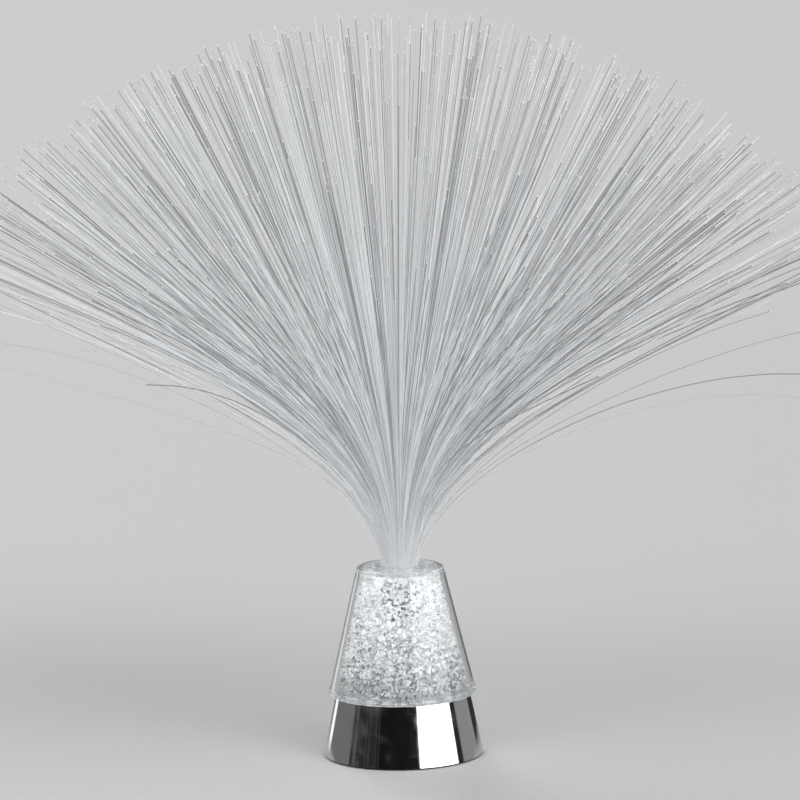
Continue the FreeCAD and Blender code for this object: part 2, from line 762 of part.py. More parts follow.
def up_to_board(start, finish):
    """The last points of a lead that turns up against the board's lower face."""
    reach = math.dist(start, finish)
    return quarter_bend(reach - LEAD_BEND, lead_height, False) + [(reach, board_bottom)]


def make_leads():
    """Battery to switch, switch to board, and battery to board."""
    terminal_top = cover_top + SWITCH_HEIGHT + TERMINAL_HEIGHT
    up_from_switch = [(0, terminal_top)] + quarter_bend(0, lead_height - LEAD_BEND, True)
    tab_x = well_half_length - CONTACT_THICKNESS
    plus_tab = (tab_x, -cell_pitch)
    minus_tab = (-tab_x, cell_pitch)
    last_terminal = (terminal_x(TERMINAL_COUNT - 1), switch_y)
    middle_terminal = (terminal_x((TERMINAL_COUNT - 1) / 2), switch_y)
    board_front = (0.0, -LEAD_END_RADIUS)
    board_side = (-LEAD_END_RADIUS, 0.0)
    to_tab = [(math.dist(last_terminal, plus_tab), lead_height)]
    return {
        "lead_battery_to_switch": make_lead(last_terminal, plus_tab, up_from_switch + to_tab),
        "lead_switch_to_board": make_lead(middle_terminal, board_front,
                                          up_from_switch + up_to_board(middle_terminal, board_front)),
        "lead_battery_to_board": make_lead(minus_tab, board_side,
                                           [(0, lead_height)] + up_to_board(minus_tab, board_side)),
    }


# Clear cone, tray and socket tube

def cone_radius(height):
    """The outer radius of the clear cone's wall at a height."""
    foot = flange_radius - CONE_FLANGE_STEP
    return foot + (height - cone_floor) / (cone_top - cone_floor) * (CONE_TOP_RADIUS - foot)


def make_clear_cone():
    rim_inside = CONE_TOP_RADIUS - CONE_RIM_WIDTH
    hole = tube_radius + TUBE_GAP
    ledge_bore = spigot_bore_radius - TRAY_LEDGE
    cone = revolve([
        (spigot_radius, tray_bottom),
        (spigot_radius, shell_top),
        (flange_radius, shell_top),
        (flange_radius, cone_floor),
        (cone_radius(cone_floor), cone_floor),
        (CONE_TOP_RADIUS, cone_top),
        (rim_inside, cone_top),
        (rim_inside, deck_top),
        (hole, deck_top),
        (hole, deck_bottom),
        (cone_radius(deck_bottom) - CONE_WALL, deck_bottom),
        (cone_radius(cone_floor) - CONE_WALL, cone_floor),
        (ledge_bore, cone_floor),
        (ledge_bore, tray_top),
        (spigot_bore_radius, tray_top),
        (spigot_bore_radius, tray_bottom),
    ])
    cone = round_rim(cone, CONE_RIM_ROUND, CONE_TOP_RADIUS, cone_top)
    cone = round_rim(cone, CONE_RIM_INNER_ROUND, rim_inside, cone_top)
    cone = round_rim(cone, CONE_FLANGE_ROUND, flange_radius, shell_top)
    hook_top = rim_bottom - SPIGOT_GAP
    hooks = []
    for x, y, angle in on_circle(HOOK_COUNT, spigot_radius, 45.0):
        hook = tube(spigot_radius - SPIGOT_WALL / 2, spigot_radius + HOOK_PROUD,
                    tray_bottom, hook_top)
        width = block(0, 2 * spigot_radius, -HOOK_WIDTH / 2, HOOK_WIDTH / 2, tray_bottom, hook_top)
        hooks.append(hook.common(turned(width, angle)))
    return cone.fuse(hooks).removeSplitter()


def make_tray():
    collar_bore = tube_radius + TUBE_GAP
    return revolve([
        (0, tray_bottom),
        (spigot_bore_radius - TRAY_GAP, tray_bottom),
        (spigot_bore_radius - TRAY_GAP, tray_top),
        (collar_bore + TUBE_COLLAR_WALL, tray_top),
        (collar_bore + TUBE_COLLAR_WALL, tray_top + TUBE_COLLAR_HEIGHT),
        (collar_bore, tray_top + TUBE_COLLAR_HEIGHT),
        (collar_bore, tray_top),
        (0, tray_top),
    ])


# Crystal chips, in rounds between the socket tube and the cone

def make_chip(half_across, half_round, half_height, table_up):
    """A cut chip with a square table, a girdle of four corners and a pointed foot."""
    top = half_height if table_up else -half_height
    girdle_height = top * chip_chance.uniform(*CHIP_GIRDLE_SHARES)
    table = []
    for index in range(4):
        turn = math.radians(45 + 90 * index)
        table.append(point(half_across * CHIP_TABLE_SHARE * math.cos(turn),
                           half_round * CHIP_TABLE_SHARE * math.sin(turn), top))
    corners = [(half_across, 0), (0, half_round), (-half_across, 0), (0, -half_round)]
    girdle = [point(x, y, girdle_height) for x, y in corners]
    foot = point(half_across * chip_chance.uniform(-CHIP_FOOT_SHIFT, CHIP_FOOT_SHIFT),
                 half_round * chip_chance.uniform(-CHIP_FOOT_SHIFT, CHIP_FOOT_SHIFT), -top)
    faces = [flat_face(table)]
    for index in range(4):
        after = (index + 1) % 4
        faces.append(flat_face([girdle[index], table[index], table[index - 1]]))
        faces.append(flat_face([girdle[index], girdle[after], table[index]]))
        faces.append(flat_face([girdle[after], girdle[index], foot]))
    return faceted_solid(faces)


def make_crystal_fill():
    bottom = cone_floor + CHIP_SPACE
    room = deck_bottom - CHIP_SPACE - bottom
    layers = max(1, int(room / CHIP_PITCH))
    layer_height = room / layers
    inner = tube_radius + TUBE_GAP + TUBE_COLLAR_WALL + CHIP_SPACE
    chips = []
    for layer in range(layers):
        middle = bottom + (layer + 0.5) * layer_height
        outer = cone_radius(middle + layer_height / 2) - CONE_WALL - CHIP_WALL_GAP
        rows = max(1, round((outer - inner) / CHIP_PITCH))
        row_width = (outer - inner) / rows
        for row in range(rows):
            radius = inner + (row + 0.5) * row_width
            count = int(2 * math.pi * (radius - row_width / 4) / CHIP_PITCH)
            half_round = radius * math.tan(math.pi / count) - CHIP_SPACE / 2
            first_angle = chip_chance.uniform(0, 360)
            for x, y, angle in on_circle(count, radius, first_angle):
                chip = make_chip(row_width / 2 - CHIP_SPACE / 2, half_round,
                                 layer_height / 2 - CHIP_SPACE / 2, chip_chance.random() < 0.5)
                chip.rotate(ORIGIN, AXIS_Z, angle)
                chip.translate(point(x, y, middle))
                chips.append(chip)
    return chips


# Plug, ring and ferrule

def make_spray_plug():
    groove_bottom = plug_bottom + GROOVE_UP
    plug = revolve([
        (plug_bore_radius, plug_bottom),
        (plug_radius, plug_bottom),
        (plug_radius, groove_bottom),
        (groove_radius, groove_bottom),
        (groove_radius, groove_bottom + GROOVE_WIDTH),
        (plug_radius, groove_bottom + GROOVE_WIDTH),
        (plug_radius, deck_top),
        (PLUG_FLANGE_RADIUS, deck_top),
        (PLUG_FLANGE_RADIUS, plug_top),
        (plug_bore_radius, plug_top),
    ])
    return round_rim(plug, PLUG_FLANGE_ROUND, PLUG_FLANGE_RADIUS, plug_top)


def make_plug_ring():
    """A square-section sealing ring that turns in the plug's groove and slides in the tube."""
    bottom = plug_bottom + GROOVE_UP + RING_SIDE_GAP
    return tube(groove_radius + RING_FIT_GAP, TUBE_BORE_RADIUS - RING_FIT_GAP,
                bottom, bottom + GROOVE_WIDTH - 2 * RING_SIDE_GAP)


def make_ferrule():
    return tube(ferrule_bore_radius, ferrule_radius, plug_bottom, plug_bottom + FERRULE_LENGTH)


# Fibres.  They stand side by side in the plug, in rings round a middle one.  Above the plug
# each leans out fast and then ever more slowly, as far as its ring asks.

def ring_lean(ring):
    """How far a ring leans from upright, so that the tips share the dome evenly."""
    half_lean = math.radians(FIBRE_OUTER_LEAN / 2)
    return math.degrees(2 * math.asin(math.sin(half_lean) * ring / FIBRE_RING_COUNT))


def fibre_path(ring, lean, free_length):
    """The (radius, height) points of a fibre from the plug's lower face to its tip.

    Its lean grows towards the full one by a constant share for each bend length.  The points
    come where it has taken each of the stated shares of its lean, so fibres never cross.
    """
    stops = [-FIBRE_BEND_LENGTH * math.log(1 - share) for share in FIBRE_BEND_SHARES]
    stops.append(free_length)
    across, up = ring * ring_pitch, plug_top
    path = [(across, plug_bottom), (across, up)]
    done = 0.0
    for stop in stops:
        step = (stop - done) / FIBRE_LEG_STEP_COUNT
        for part in range(FIBRE_LEG_STEP_COUNT):
            heading = math.radians(lean * (1 - math.exp(-(done + step / 2) / FIBRE_BEND_LENGTH)))
            across += step * math.sin(heading)
            up += step * math.cos(heading)
            done += step
        path.append((across, up))
    return path


def make_fibre_ring(ring):
    """One ring of fibres.  Opposite fibres are alike, so the spray stays centred."""
    section = section_corners(FIBRE_DIAMETER, FIBRE_SIDE_COUNT)
    count = 6 * ring
    half = []
    for index in range(count // 2):
        lean = ring_lean(ring) + fibre_chance.uniform(-FIBRE_LEAN_SPREAD, FIBRE_LEAN_SPREAD)
        if ring == FIBRE_RING_COUNT and index % STRAY_EVERY == STRAY_FIRST:
            lean = STRAY_LEAN
        free_length = FIBRE_FREE_LENGTH - fibre_chance.uniform(0, FIBRE_LENGTH_SPREAD)
        half.append(mitred_bar(fibre_path(ring, lean, free_length), section))
    return [turned(half[index % (count // 2)], index * 360.0 / count) for index in range(count)]


def make_middle_fibre():
    straight = [(0, plug_bottom), (0, plug_top + FIBRE_FREE_LENGTH)]
    return mitred_bar(straight, section_corners(FIBRE_DIAMETER, FIBRE_SIDE_COUNT))


os.makedirs("parts", exist_ok=True)

save("base_shell", make_base_shell())
save("bottom_cover", make_bottom_cover())
save("rubber_feet", make_feet())
save("cover_screws", make_cover_screws())

for row, y, direction in cell_rows():
    save("battery_cell_%d" % row, make_cell(y, direction))
save("contact_positive_end", end_contact(1, -cell_pitch))
save("contact_negative_end", end_contact(-1, cell_pitch))
save("contact_bridge_left", contact_plate(-1, -cell_pitch, 0.0))
save("contact_bridge_right", contact_plate(1, 0.0, cell_pitch))
save("battery_springs", [make_spring(-direction, y) for row, y, direction in cell_rows()])

save("battery_door", make_battery_door())
save("door_hinge_pins", make_hinge_pins())
save("door_foam_pad", centred_block(PAD_LENGTH, PAD_WIDTH, door_top, pad_top))

save("switch_housing", make_switch_housing())
save("switch_knob", make_switch_knob())
save("switch_terminals", make_switch_terminals())

save("lamp_board", make_lamp_board())
save("board_screws", make_board_screws())
save("leds", make_leds())
save("controller_chip", make_controller_chip())
save("resistors", make_resistors())
save("light_reflector", make_reflector())
for name, lead in make_leads().items():
    save(name, lead)

save("clear_cone", make_clear_cone())
save("crystal_tray", make_tray())
save("socket_tube", tube(TUBE_BORE_RADIUS, tube_radius, tray_top, deck_top))
save("crystal_fill", make_crystal_fill())

save("spray_plug", make_spray_plug())
save("plug_ring", make_plug_ring())
save("bundle_ferrule", make_ferrule())
save("fibre_middle", make_middle_fibre())
for ring in range(1, FIBRE_RING_COUNT + 1):
    save("fibre_ring_%d" % ring, make_fibre_ring(ring))
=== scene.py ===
import math
import random

import bmesh
import bpy
from mathutils import Matrix, Vector


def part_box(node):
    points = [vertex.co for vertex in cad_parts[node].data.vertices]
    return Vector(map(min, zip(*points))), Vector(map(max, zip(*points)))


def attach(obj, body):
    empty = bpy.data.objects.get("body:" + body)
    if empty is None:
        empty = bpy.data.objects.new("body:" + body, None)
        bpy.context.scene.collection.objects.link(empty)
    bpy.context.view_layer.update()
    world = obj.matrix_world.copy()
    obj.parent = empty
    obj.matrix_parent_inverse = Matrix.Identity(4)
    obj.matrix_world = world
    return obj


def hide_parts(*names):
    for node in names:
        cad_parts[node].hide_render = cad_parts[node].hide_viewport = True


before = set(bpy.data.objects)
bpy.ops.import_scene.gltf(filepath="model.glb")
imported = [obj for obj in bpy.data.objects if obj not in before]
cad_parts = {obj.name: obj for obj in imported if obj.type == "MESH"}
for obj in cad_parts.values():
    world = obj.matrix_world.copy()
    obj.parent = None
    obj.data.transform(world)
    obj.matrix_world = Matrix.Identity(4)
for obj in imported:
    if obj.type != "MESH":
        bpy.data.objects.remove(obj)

# A fibre optic lamp on a pale studio floor.  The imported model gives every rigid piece.  The
# fibres and the crystal chips are made here, and every piece gets its material.
# Lengths are in metres and angles in degrees, unless a name or a line says otherwise.

bpy.context.view_layer.update()
MM = 0.001
GOLDEN_TURN = math.pi * (3 - math.sqrt(5))

# Places read from the frame
PLUG_LOW, PLUG_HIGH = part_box("spray_plug")
CHIPS_LOW, CHIPS_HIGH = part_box("crystal_fill")
TRAY_LOW, TRAY_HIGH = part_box("crystal_tray")
CONE_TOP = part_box("clear_cone")[1].z
NECK = Vector((0, 0, PLUG_HIGH.z))

# Camera.  The photograph is PHOTO_WIDTH wide at the lamp.
PHOTO_WIDTH = 0.360
CAMERA_DISTANCE = 2.43
CAMERA_ELEVATION = math.radians(9.4)
CAMERA_ROLL = math.radians(1.25)
SENSOR_MM = 36.0
TARGET = Vector((0.0017, 0.0, 0.1626))
VIEW_END = 100.0

# Fibres.  Each drawn strand is a thin tube from the plug's foot to its lit tip.
STRAND_COUNT = 1300
STRAND_DIAMETER = 0.48 * MM
STRAND_SIDES = 4
STRAND_STEPS = 12
STRAND_STEP_GROWTH = 1.35
STRAND_TIP_LENGTH = 0.5 * MM
STRAND_REACH = 245 * MM
STRAND_REACH_SPREAD = 5 * MM
STRAND_SEED = 11
SPRAY_ANGLE = 53.0
AIM_SPREAD = 1.6
AIM_ROUNDS = 6
CLUMP_PULL = (0.1, 0.6)
SHORT_SHARE = 0.06
SHORT_CUT_MM = (4, 22)

# How far along a strand its lean builds up, in the middle of the spray and at its edge
BEND_LENGTH = 27 * MM
EDGE_BEND_LENGTH = 66 * MM
EDGE_ANGLE = 54.0
EDGE_FIRST_LEAN = 7.0

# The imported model's fibres.  Their own strands take only a share of the edge's slower bend.
PACKED_RING_COUNT = 8
PACKED_SLOW_SHARE = 0.35
PACKED_FOOT_DEPTH = 0.1 * MM
PACKED_TIP_DISTANCE = 150 * MM

# The few fibres that hang out of the spray: heading, lean and droop in degrees, and length in mm.
# More hang out at the back, with the same four drawn between limits.
STRAY_BEND_LENGTH = 29 * MM
STRAY_FIRST_LEAN = 10.0
STRAY_SMOOTHING = 2
STRAYS = ((-1, 62, 35, 210), (-15, 58, 33, 224), (7, 62, 28, 212), (28, 69, 15, 245), (24, 60, 17, 210),
          (10, 56, 19, 204), (-2, 50, 20, 226), (195, 41, 41, 183), (237, 55, 25, 224), (187, 41, 34, 174),
          (151, 65, 22, 242), (201, 52, 19, 230))
BACK_STRAY_COUNT = 8
BACK_STRAY_LIMITS = ((30, 150), (58, 63), (4, 20), (195, 215))

# Painted light on the fibres: lit and shaded copies of the fibre material, each as name, brightness
# and added glow.  The last is the lit tip with a painted glow, and the bag gives the others their shares.
FIBRE_PAINTED_KINDS = (("fibre", 1.0, 0.0), ("fibre_painted_highlight", 1.2, 0.0), ("fibre_painted_shade", 0.72, 0.0),
               ("fibre_tip_painted_glow", 1.2, 0.12))
FIBRE_TIP = len(FIBRE_PAINTED_KINDS) - 1
FIBRE_BAG = (0, 0, 0, 1, 1, 2, 2)

# Painted light along a fibre: its sRGB tone by its share of the reach, lighter by the neck, and its
# glow at the neck, near it and at the tip.  The glow stands partly for the lamp's own light in the
# fibres and is partly painted light that lifts the spray's shade.
FIBRE_PAINTED_TONES = ((0.0, 230), (0.16, 224), (0.4, 208), (1.0, 192))
FIBRE_PAINTED_KIND_GROWTH = 2.5
FIBRE_STREAK_SCALE = 700.0
FIBRE_STREAK_SHARE = 0.3
FIBRE_BLUE = 1.03
FIBRE_NECK_PAINTED_GLOW = 0.13
FIBRE_NEAR_SHARE = 0.2
FIBRE_NEAR_PAINTED_GLOW = 0.14
FIBRE_END_PAINTED_GLOW = 0.10
FIBRE_LIGHT = (0.93, 0.96, 1.0, 1.0)

# Crystal chips.  They fill the cone in layers, and each layer in rows from the wall inwards.
CHIP_SIZE_TOP = (2.6 * MM, 3.8 * MM)
CHIP_SIZE_FOOT = (3.4 * MM, 5.6 * MM)
CHIP_STEP = 2.4 * MM
CHIP_ROW_COUNT = 3
CHIP_SEED = 5
CHIP_CORNER_COUNTS = (7, 10)
CHIP_CORNER_REACHES = (0.85, 1.0)
CHIP_WIDTH_SHARES = (0.6, 0.9)
CHIP_SHIFT_ALONG = 0.3
CHIP_SHIFT_OUT_MM = (-0.5, 0.9)
CHIP_SHIFT_UP_MM = (-0.9, 0.9)
CHIP_KEPT_IN_SHARE = 0.42

# The room for the chips
CONE_FOOT_RADIUS = 32.9 * MM
CONE_TOP_RADIUS = 19.6 * MM
CONE_WALL = 2.0 * MM
FLANGE_TOP = 30.6 * MM
WALL_SPACE = 0.4 * MM
FOOT_CORNER_HEIGHT = 6 * MM
FOOT_CORNER_DEPTH = 1.6 * MM
TRAY_THICKNESS = 1.6 * MM
TRAY_EDGE_SPACE = 1.4 * MM
TRAY_SPACE = 0.3 * MM
FILL_FLOOR = TRAY_LOW.z + TRAY_THICKNESS + TRAY_SPACE

# Painted light on the chips: each facet gets a lit or shaded copy of the chip material, in place of
# the light that real chips catch unevenly.  Columns: name, tone, clearness, glow and share of the
# facets.  The painted shade grows towards the foot, and the glow evens out towards the top.  The glow
# stands partly for the lamp's own light under the chips and is partly painted light that lifts
# their shade.
PAINTED_FACET_KINDS = (("crystal_glint", 236, 0.1, 0.50, 3), ("crystal", 220, 0.2, 0.34, 7),
               ("crystal_painted_soft_shade", 206, 0.25, 0.27, 5), ("crystal_painted_grey_shade", 182, 0.3, 0.16, 3),
               ("crystal_shade", 140, 0.3, 0.04, 1))
FOOT_SHADE_SHARE = 0.95
TOP_PAINTED_LIGHT_SHARE = 0.6
TOP_PAINTED_GLOW = 0.36
TOP_EVENNESS = 0.55
CLOUD_DEPTH = 0.82
CRYSTAL_BLUE = 1.02
CRYSTAL_LIGHT = (0.95, 0.97, 1.0, 1.0)

# Noises of the materials, each as its scale and detail
CHROME_CLOUDS = (70.0, 4.0)
CHROME_WAVES = (45.0, 1.0)
CHROME_MARKS = (120.0, 3.0)
CLEAR_HAZE = (160.0, 3.0)
CLEAR_PAINTED_GLITTER = (420.0, 2.0)
CRYSTAL_CLOUDS = (260.0, 2.0)

# Chrome: its roughness along the clouds, its waves' depth, and how strong its wiping marks are
# along their noise, and across the lamp from -50 mm (0) to 50 mm (1)
CHROME = (0.60, 0.605, 0.61, 1.0)
CHROME_ROUGHNESS = ((0.5, 0.02), (0.75, 0.20))
WAVE_DEPTH = 0.2 * MM
MARK_ROUGHNESS = 0.6
MARK_LEVELS = ((0.5, 0.0), (0.7, 0.22))
WIPED = ((0.18, 0.1), (0.25, 1.0), (0.36, 1.0), (0.44, 0.1))

# Clear plastic along its noises: its roughness, and how unevenly its painted glow glitters
CLEAR_ROUGHNESS = ((0.4, 0.015), (0.8, 0.05))
PAINTED_GLITTER_LEVELS = ((0.45, 0.1), (0.6, 1.0))

# Clear plastic by height: its painted highlight along the flange's lower edge, a faint painted glow in
# the flange and at the rim, and the share of light that goes straight through the flange and the rim
CLEAR_PAINTED_GLOW = ((29.0 * MM, 0.45), (29.4 * MM, 0.02), (32 * MM, 0.02), (33 * MM, 0.0),
              (82 * MM, 0.0), (84 * MM, 0.11))
CLEAR_STRAIGHT = ((31.5 * MM, 0.45), (33.5 * MM, 0.0), (81.5 * MM, 0.0), (84 * MM, 0.45))

# Moulded, painted and plated surfaces: name, sRGB colour, roughness, grain scale, grain depth and
# metallic share.  The mottle is broader than the grain by MOTTLE_BREADTH.
PLAIN_SURFACES = (
    ("black_plastic", (28, 28, 30), 0.42, 1500.0, 0.06 * MM, 0.0),
    ("rubber", (40, 40, 41), 0.75, 1800.0, 0.08 * MM, 0.0),
    ("seal_rubber", (150, 150, 146), 0.6, 1800.0, 0.04 * MM, 0.0),
    ("steel", (176, 176, 178), 0.3, 900.0, 0.02 * MM, 1.0),
    ("cell_jacket", (52, 92, 74), 0.35, 500.0, 0.01 * MM, 0.0),
    ("contact_plate", (190, 190, 188), 0.26, 900.0, 0.02 * MM, 1.0),
    ("switch_plastic", (44, 44, 46), 0.38, 1400.0, 0.04 * MM, 0.0),
    ("brass", (190, 160, 92), 0.3, 900.0, 0.02 * MM, 1.0),
    ("board", (226, 227, 224), 0.4, 700.0, 0.03 * MM, 0.0),
    ("led_lens", (240, 240, 228), 0.2, 500.0, 0.01 * MM, 0.0),
    ("chip_plastic", (34, 34, 36), 0.5, 1500.0, 0.03 * MM, 0.0),
    ("white_plastic", (232, 232, 230), 0.4, 1200.0, 0.03 * MM, 0.0),
    ("red_lead", (170, 34, 30), 0.4, 800.0, 0.02 * MM, 0.0),
    ("yellow_lead", (214, 178, 44), 0.4, 800.0, 0.02 * MM, 0.0),
    ("black_lead", (32, 32, 34), 0.4, 800.0, 0.02 * MM, 0.0),
    ("foam", (70, 70, 72), 0.95, 2500.0, 0.3 * MM, 0.0),
    ("ferrule", (206, 206, 208), 0.3, 700.0, 0.02 * MM, 0.0),
)
GRAIN_STRENGTH = 0.4
MOTTLE = 0.12
MOTTLE_BREADTH = 12
GLOSS_LIMITS = (0.8, 1.25)

# Studio bands seen by the gloss, each as the azimuth where it starts and its brightness
BAND_EDGE = 1.2
STUDIO_BANDS = ((-176, 0.3), (-152, 1.5), (-140, 0.22), (-87, 0.035), (-43, 0.012),
                (23.5, 4.0), (84.5, 0.03), (96, 0.36), (138, 0.04))
STUDIO_BLUE = 1.02

# Faint smudges on the dark flag: their noise as scale, detail and stretch, their brightness along
# that noise, and where they show
SMUDGES = (6.0, 4.0, (1, 1, 0.4))
SMUDGE_LEVELS = ((0.5, 0.0), (0.72, 0.2))
SMUDGE_AZIMUTHS = ((-88, 0.0), (-80, 1.0), (-42, 1.0), (-30, 0.0))

# The ceiling seen by the gloss, with the sines of elevation where it begins and is whole
CEILING = (0.75, 0.76, 0.78, 1.0)
CEILING_EDGE = (0.72, 0.86)

# The backdrop, and the floor, which the gloss sees only near the lamp
BACKDROP_TONE = 198
BACKDROP_STRENGTH = 0.8
FLOOR_TONE = 190
FLOOR_RADIUS = 9.0
FLOOR_SIDES = 96
FLOOR_UNSEEN_FROM = (0.05, 0.12)

# Soft distant lamps: name, azimuth, elevation, strength and softness.  Azimuth 0 shines from the
# camera's side, and 90 from the right.
LAMPS = (("key", 40, 46, 1.15, 34), ("fill", -44, 50, 0.85, 40), ("rim", 200, 38, 0.8, 24))


# Small helpers

def colour(tone, blue=1.0):
    """A neutral linear colour from an sRGB tone of 0 to 255, with its blue scaled."""
    share = tone / 255.0
    linear = ((share + 0.055) / 1.055) ** 2.4 if share > 0.04045 else share / 12.92
    return (linear, linear * (1 + blue) / 2, linear * blue, 1.0)


def tint(tones):
    """A linear colour from three sRGB tones of 0 to 255."""
    return tuple(colour(tone)[0] for tone in tones) + (1.0,)


def grey(level):
    """A linear grey as a colour."""
    return (level, level, level, 1.0)


def scaled(base, factor):
    """A colour with its channels scaled, and none above 1."""
    return tuple(min(1.0, channel * factor) for channel in base[:3]) + (1.0,)


def add_to_scene(name, data):
    """A new object with its data, in the scene."""
    made = bpy.data.objects.new(name, data)
    bpy.context.scene.collection.objects.link(made)
    return made


def mesh_object(name, vertices, faces, smooth):
    """A new mesh object from vertices and faces."""
    mesh = bpy.data.meshes.new(name)
    mesh.from_pydata([tuple(vertex) for vertex in vertices], [], faces)
    mesh.update()
    mesh.polygons.foreach_set("use_smooth", [smooth] * len(mesh.polygons))
    return add_to_scene(name, mesh)


# Node trees

class Tree:
    """Short names for making a node tree."""

    def __init__(self, owner):
        owner.use_nodes = True
        self.tree = owner.node_tree
        self.tree.nodes.clear()

    def add(self, kind, **settings):
        node = self.tree.nodes.new(kind)
        for key, value in settings.items():
            setattr(node, key, value)
        return node

    def link(self, source, target):
        self.tree.links.new(source, target)

    def put(self, value, socket):
        """Link a socket's value from another socket, or set it to a constant."""
        if hasattr(value, "is_linked"):
            self.link(value, socket)
        else:
            socket.default_value = value

    def noise(self, coordinates, scale, detail=2.0, stretch=(1, 1, 1)):
        mapping = self.add("ShaderNodeMapping")
        mapping.inputs["Scale"].default_value = stretch
        self.link(coordinates, mapping.inputs["Vector"])
        noise = self.add("ShaderNodeTexNoise")
        noise.inputs["Scale"].default_value = scale
        noise.inputs["Detail"].default_value = detail
        self.link(mapping.outputs["Vector"], noise.inputs["Vector"])
        return noise.outputs["Fac"]

    def ramp(self, factor, stops):
        """A ramp of colours, from (position, colour) stops."""
        ramp = self.add("ShaderNodeValToRGB")
        elements = ramp.color_ramp.elements
        elements.remove(elements[1])
        elements[0].position, elements[0].color = stops[0]
        for position, value in stops[1:]:
            elements.new(position).color = value
        self.link(factor, ramp.inputs["Fac"])
        return ramp.outputs["Color"]

    def levels(self, factor, stops):
        """A ramp of plain numbers, from (position, number) stops."""
        return self.ramp(factor, [(position, grey(level)) for position, level in stops])

    def bump(self, height, strength, distance):
        bump = self.add("ShaderNodeBump")
        bump.inputs["Strength"].default_value = strength
        bump.inputs["Distance"].default_value = distance
        self.link(height, bump.inputs["Height"])
        return bump.outputs["Normal"]

    def maths(self, operation, first, second):
        node = self.add("ShaderNodeMath", operation=operation)
        for socket, value in zip(node.inputs, (first, second)):
            self.put(value, socket)
        return node.outputs[0]

    def axis(self, coordinates, name):
        """One of the three coordinates."""
        split = self.add("ShaderNodeSeparateXYZ")
        self.link(coordinates, split.inputs[0])
        return split.outputs[name]

    def by_height(self, place, stops):
        """A number by height, from (height, number) stops.  The ramp is 0.1 m tall."""
        tenths = self.maths("MULTIPLY", self.axis(place, "Z"), 10.0)
        return self.levels(tenths, [(height * 10, level) for height, level in stops])

    def mixed_colour(self, factor, first, second, blend_type="MIX"):
        """Two colours mixed, each from a socket or a constant."""
        mix = self.add("ShaderNodeMix", data_type="RGBA", blend_type=blend_type)
        for name, value in (("Factor", factor), ("A", first), ("B", second)):
            self.put(value, mix.inputs[name])
        return mix.outputs["Result"]

    def mixed_shader(self, factor, first, second):
        """Two shaders mixed: the first at factor 0, and the second at factor 1."""
        mix = self.add("ShaderNodeMixShader")
        for socket, source in zip(mix.inputs, (factor, first, second)):
            self.link(source, socket)
        return mix.outputs[0]


class Surface(Tree):
    """A material with a Principled shader, and with object coordinates in metres."""

    def __init__(self, name, base, roughness, **settings):
        self.material = bpy.data.materials.get(name) or bpy.data.materials.new(name)
        super().__init__(self.material)
        self.shader = self.add("ShaderNodeBsdfPrincipled")
        self.feed(base, "Base Color")
        self.feed(roughness, "Roughness")
        for key, value in settings.items():
            self.feed(value, key.replace("_", " "))
        self.output = self.add("ShaderNodeOutputMaterial")
        self.show(self.shader.outputs[0])
        self.place = self.add("ShaderNodeTexCoord").outputs["Object"]

    def feed(self, value, name):
        """Link or set one of the shader's own sockets."""
        self.put(value, self.shader.inputs[name])

    def show(self, shader):
        """Make a shader the material's surface."""
        self.link(shader, self.output.inputs["Surface"])


# Materials

def plain_surface(name, tones, roughness, scale, depth, metallic):
    """A moulded, painted or plated surface with a fine grain, uneven gloss and a slight mottle."""
    base = tint(tones)
    made = Surface(name, base, roughness, Metallic=metallic)
    fine = made.noise(made.place, scale, 3.0)
    broad = made.noise(made.place, scale / MOTTLE_BREADTH)
    low, high = scaled(base, 1 - MOTTLE), scaled(base, 1 + MOTTLE)
    made.feed(made.ramp(broad, [(0.3, low), (0.7, high)]), "Base Color")
    smooth, rough = [min(1.0, roughness * limit) for limit in GLOSS_LIMITS]
    made.feed(made.levels(broad, [(0.3, smooth), (0.7, rough)]), "Roughness")
    made.feed(made.bump(fine, GRAIN_STRENGTH, depth), "Normal")


def chrome_surface():
    """Bright plating, faintly clouded and uneven, with a hazy second coat of wiping marks."""
    made = Surface("chrome_plate", CHROME, 0.03, Metallic=1.0)
    made.feed(made.levels(made.noise(made.place, *CHROME_CLOUDS), CHROME_ROUGHNESS), "Roughness")
    made.feed(made.bump(made.noise(made.place, *CHROME_WAVES), 0.05, WAVE_DEPTH), "Normal")
    haze = made.add("ShaderNodeBsdfPrincipled")
    for name, value in (("Base Color", CHROME), ("Metallic", 1.0), ("Roughness", MARK_ROUGHNESS)):
        haze.inputs[name].default_value = value
    marks = made.levels(made.noise(made.place, *CHROME_MARKS), MARK_LEVELS)
    across = made.maths("ADD", made.maths("MULTIPLY", made.axis(made.place, "X"), 10.0), 0.5)
    marks = made.maths("MULTIPLY", marks, made.levels(across, WIPED))
    made.show(made.mixed_shader(marks, made.shader.outputs[0], haze.outputs[0]))


def clear_surface():
    """Clear moulded plastic with a little haze, which lamps shine through, and painted light at the flange
    and the rim.
    """
    made = Surface("clear_plastic", (0.97, 0.98, 0.98, 1.0), 0.02, IOR=1.46, Transmission_Weight=1.0)
    made.feed(made.levels(made.noise(made.place, *CLEAR_HAZE), CLEAR_ROUGHNESS), "Roughness")
    # Painted highlight along the flange's lower edge and painted glow at the rim, glittering unevenly
    glow = made.by_height(made.place, CLEAR_PAINTED_GLOW)
    glitter = made.levels(made.noise(made.place, *CLEAR_PAINTED_GLITTER), PAINTED_GLITTER_LEVELS)
    made.feed(made.maths("MULTIPLY", glow, glitter), "Emission Strength")
    made.feed(CRYSTAL_LIGHT, "Emission Color")
    through = made.add("ShaderNodeBsdfTransparent")
    through.inputs["Color"].default_value = (0.95, 0.96, 0.96, 1.0)
    shadow = made.add("ShaderNodeLightPath").outputs["Is Shadow Ray"]
    share = made.maths("MAXIMUM", shadow, made.by_height(made.place, CLEAR_STRAIGHT))
    made.show(made.mixed_shader(share, made.shader.outputs[0], through.outputs[0]))


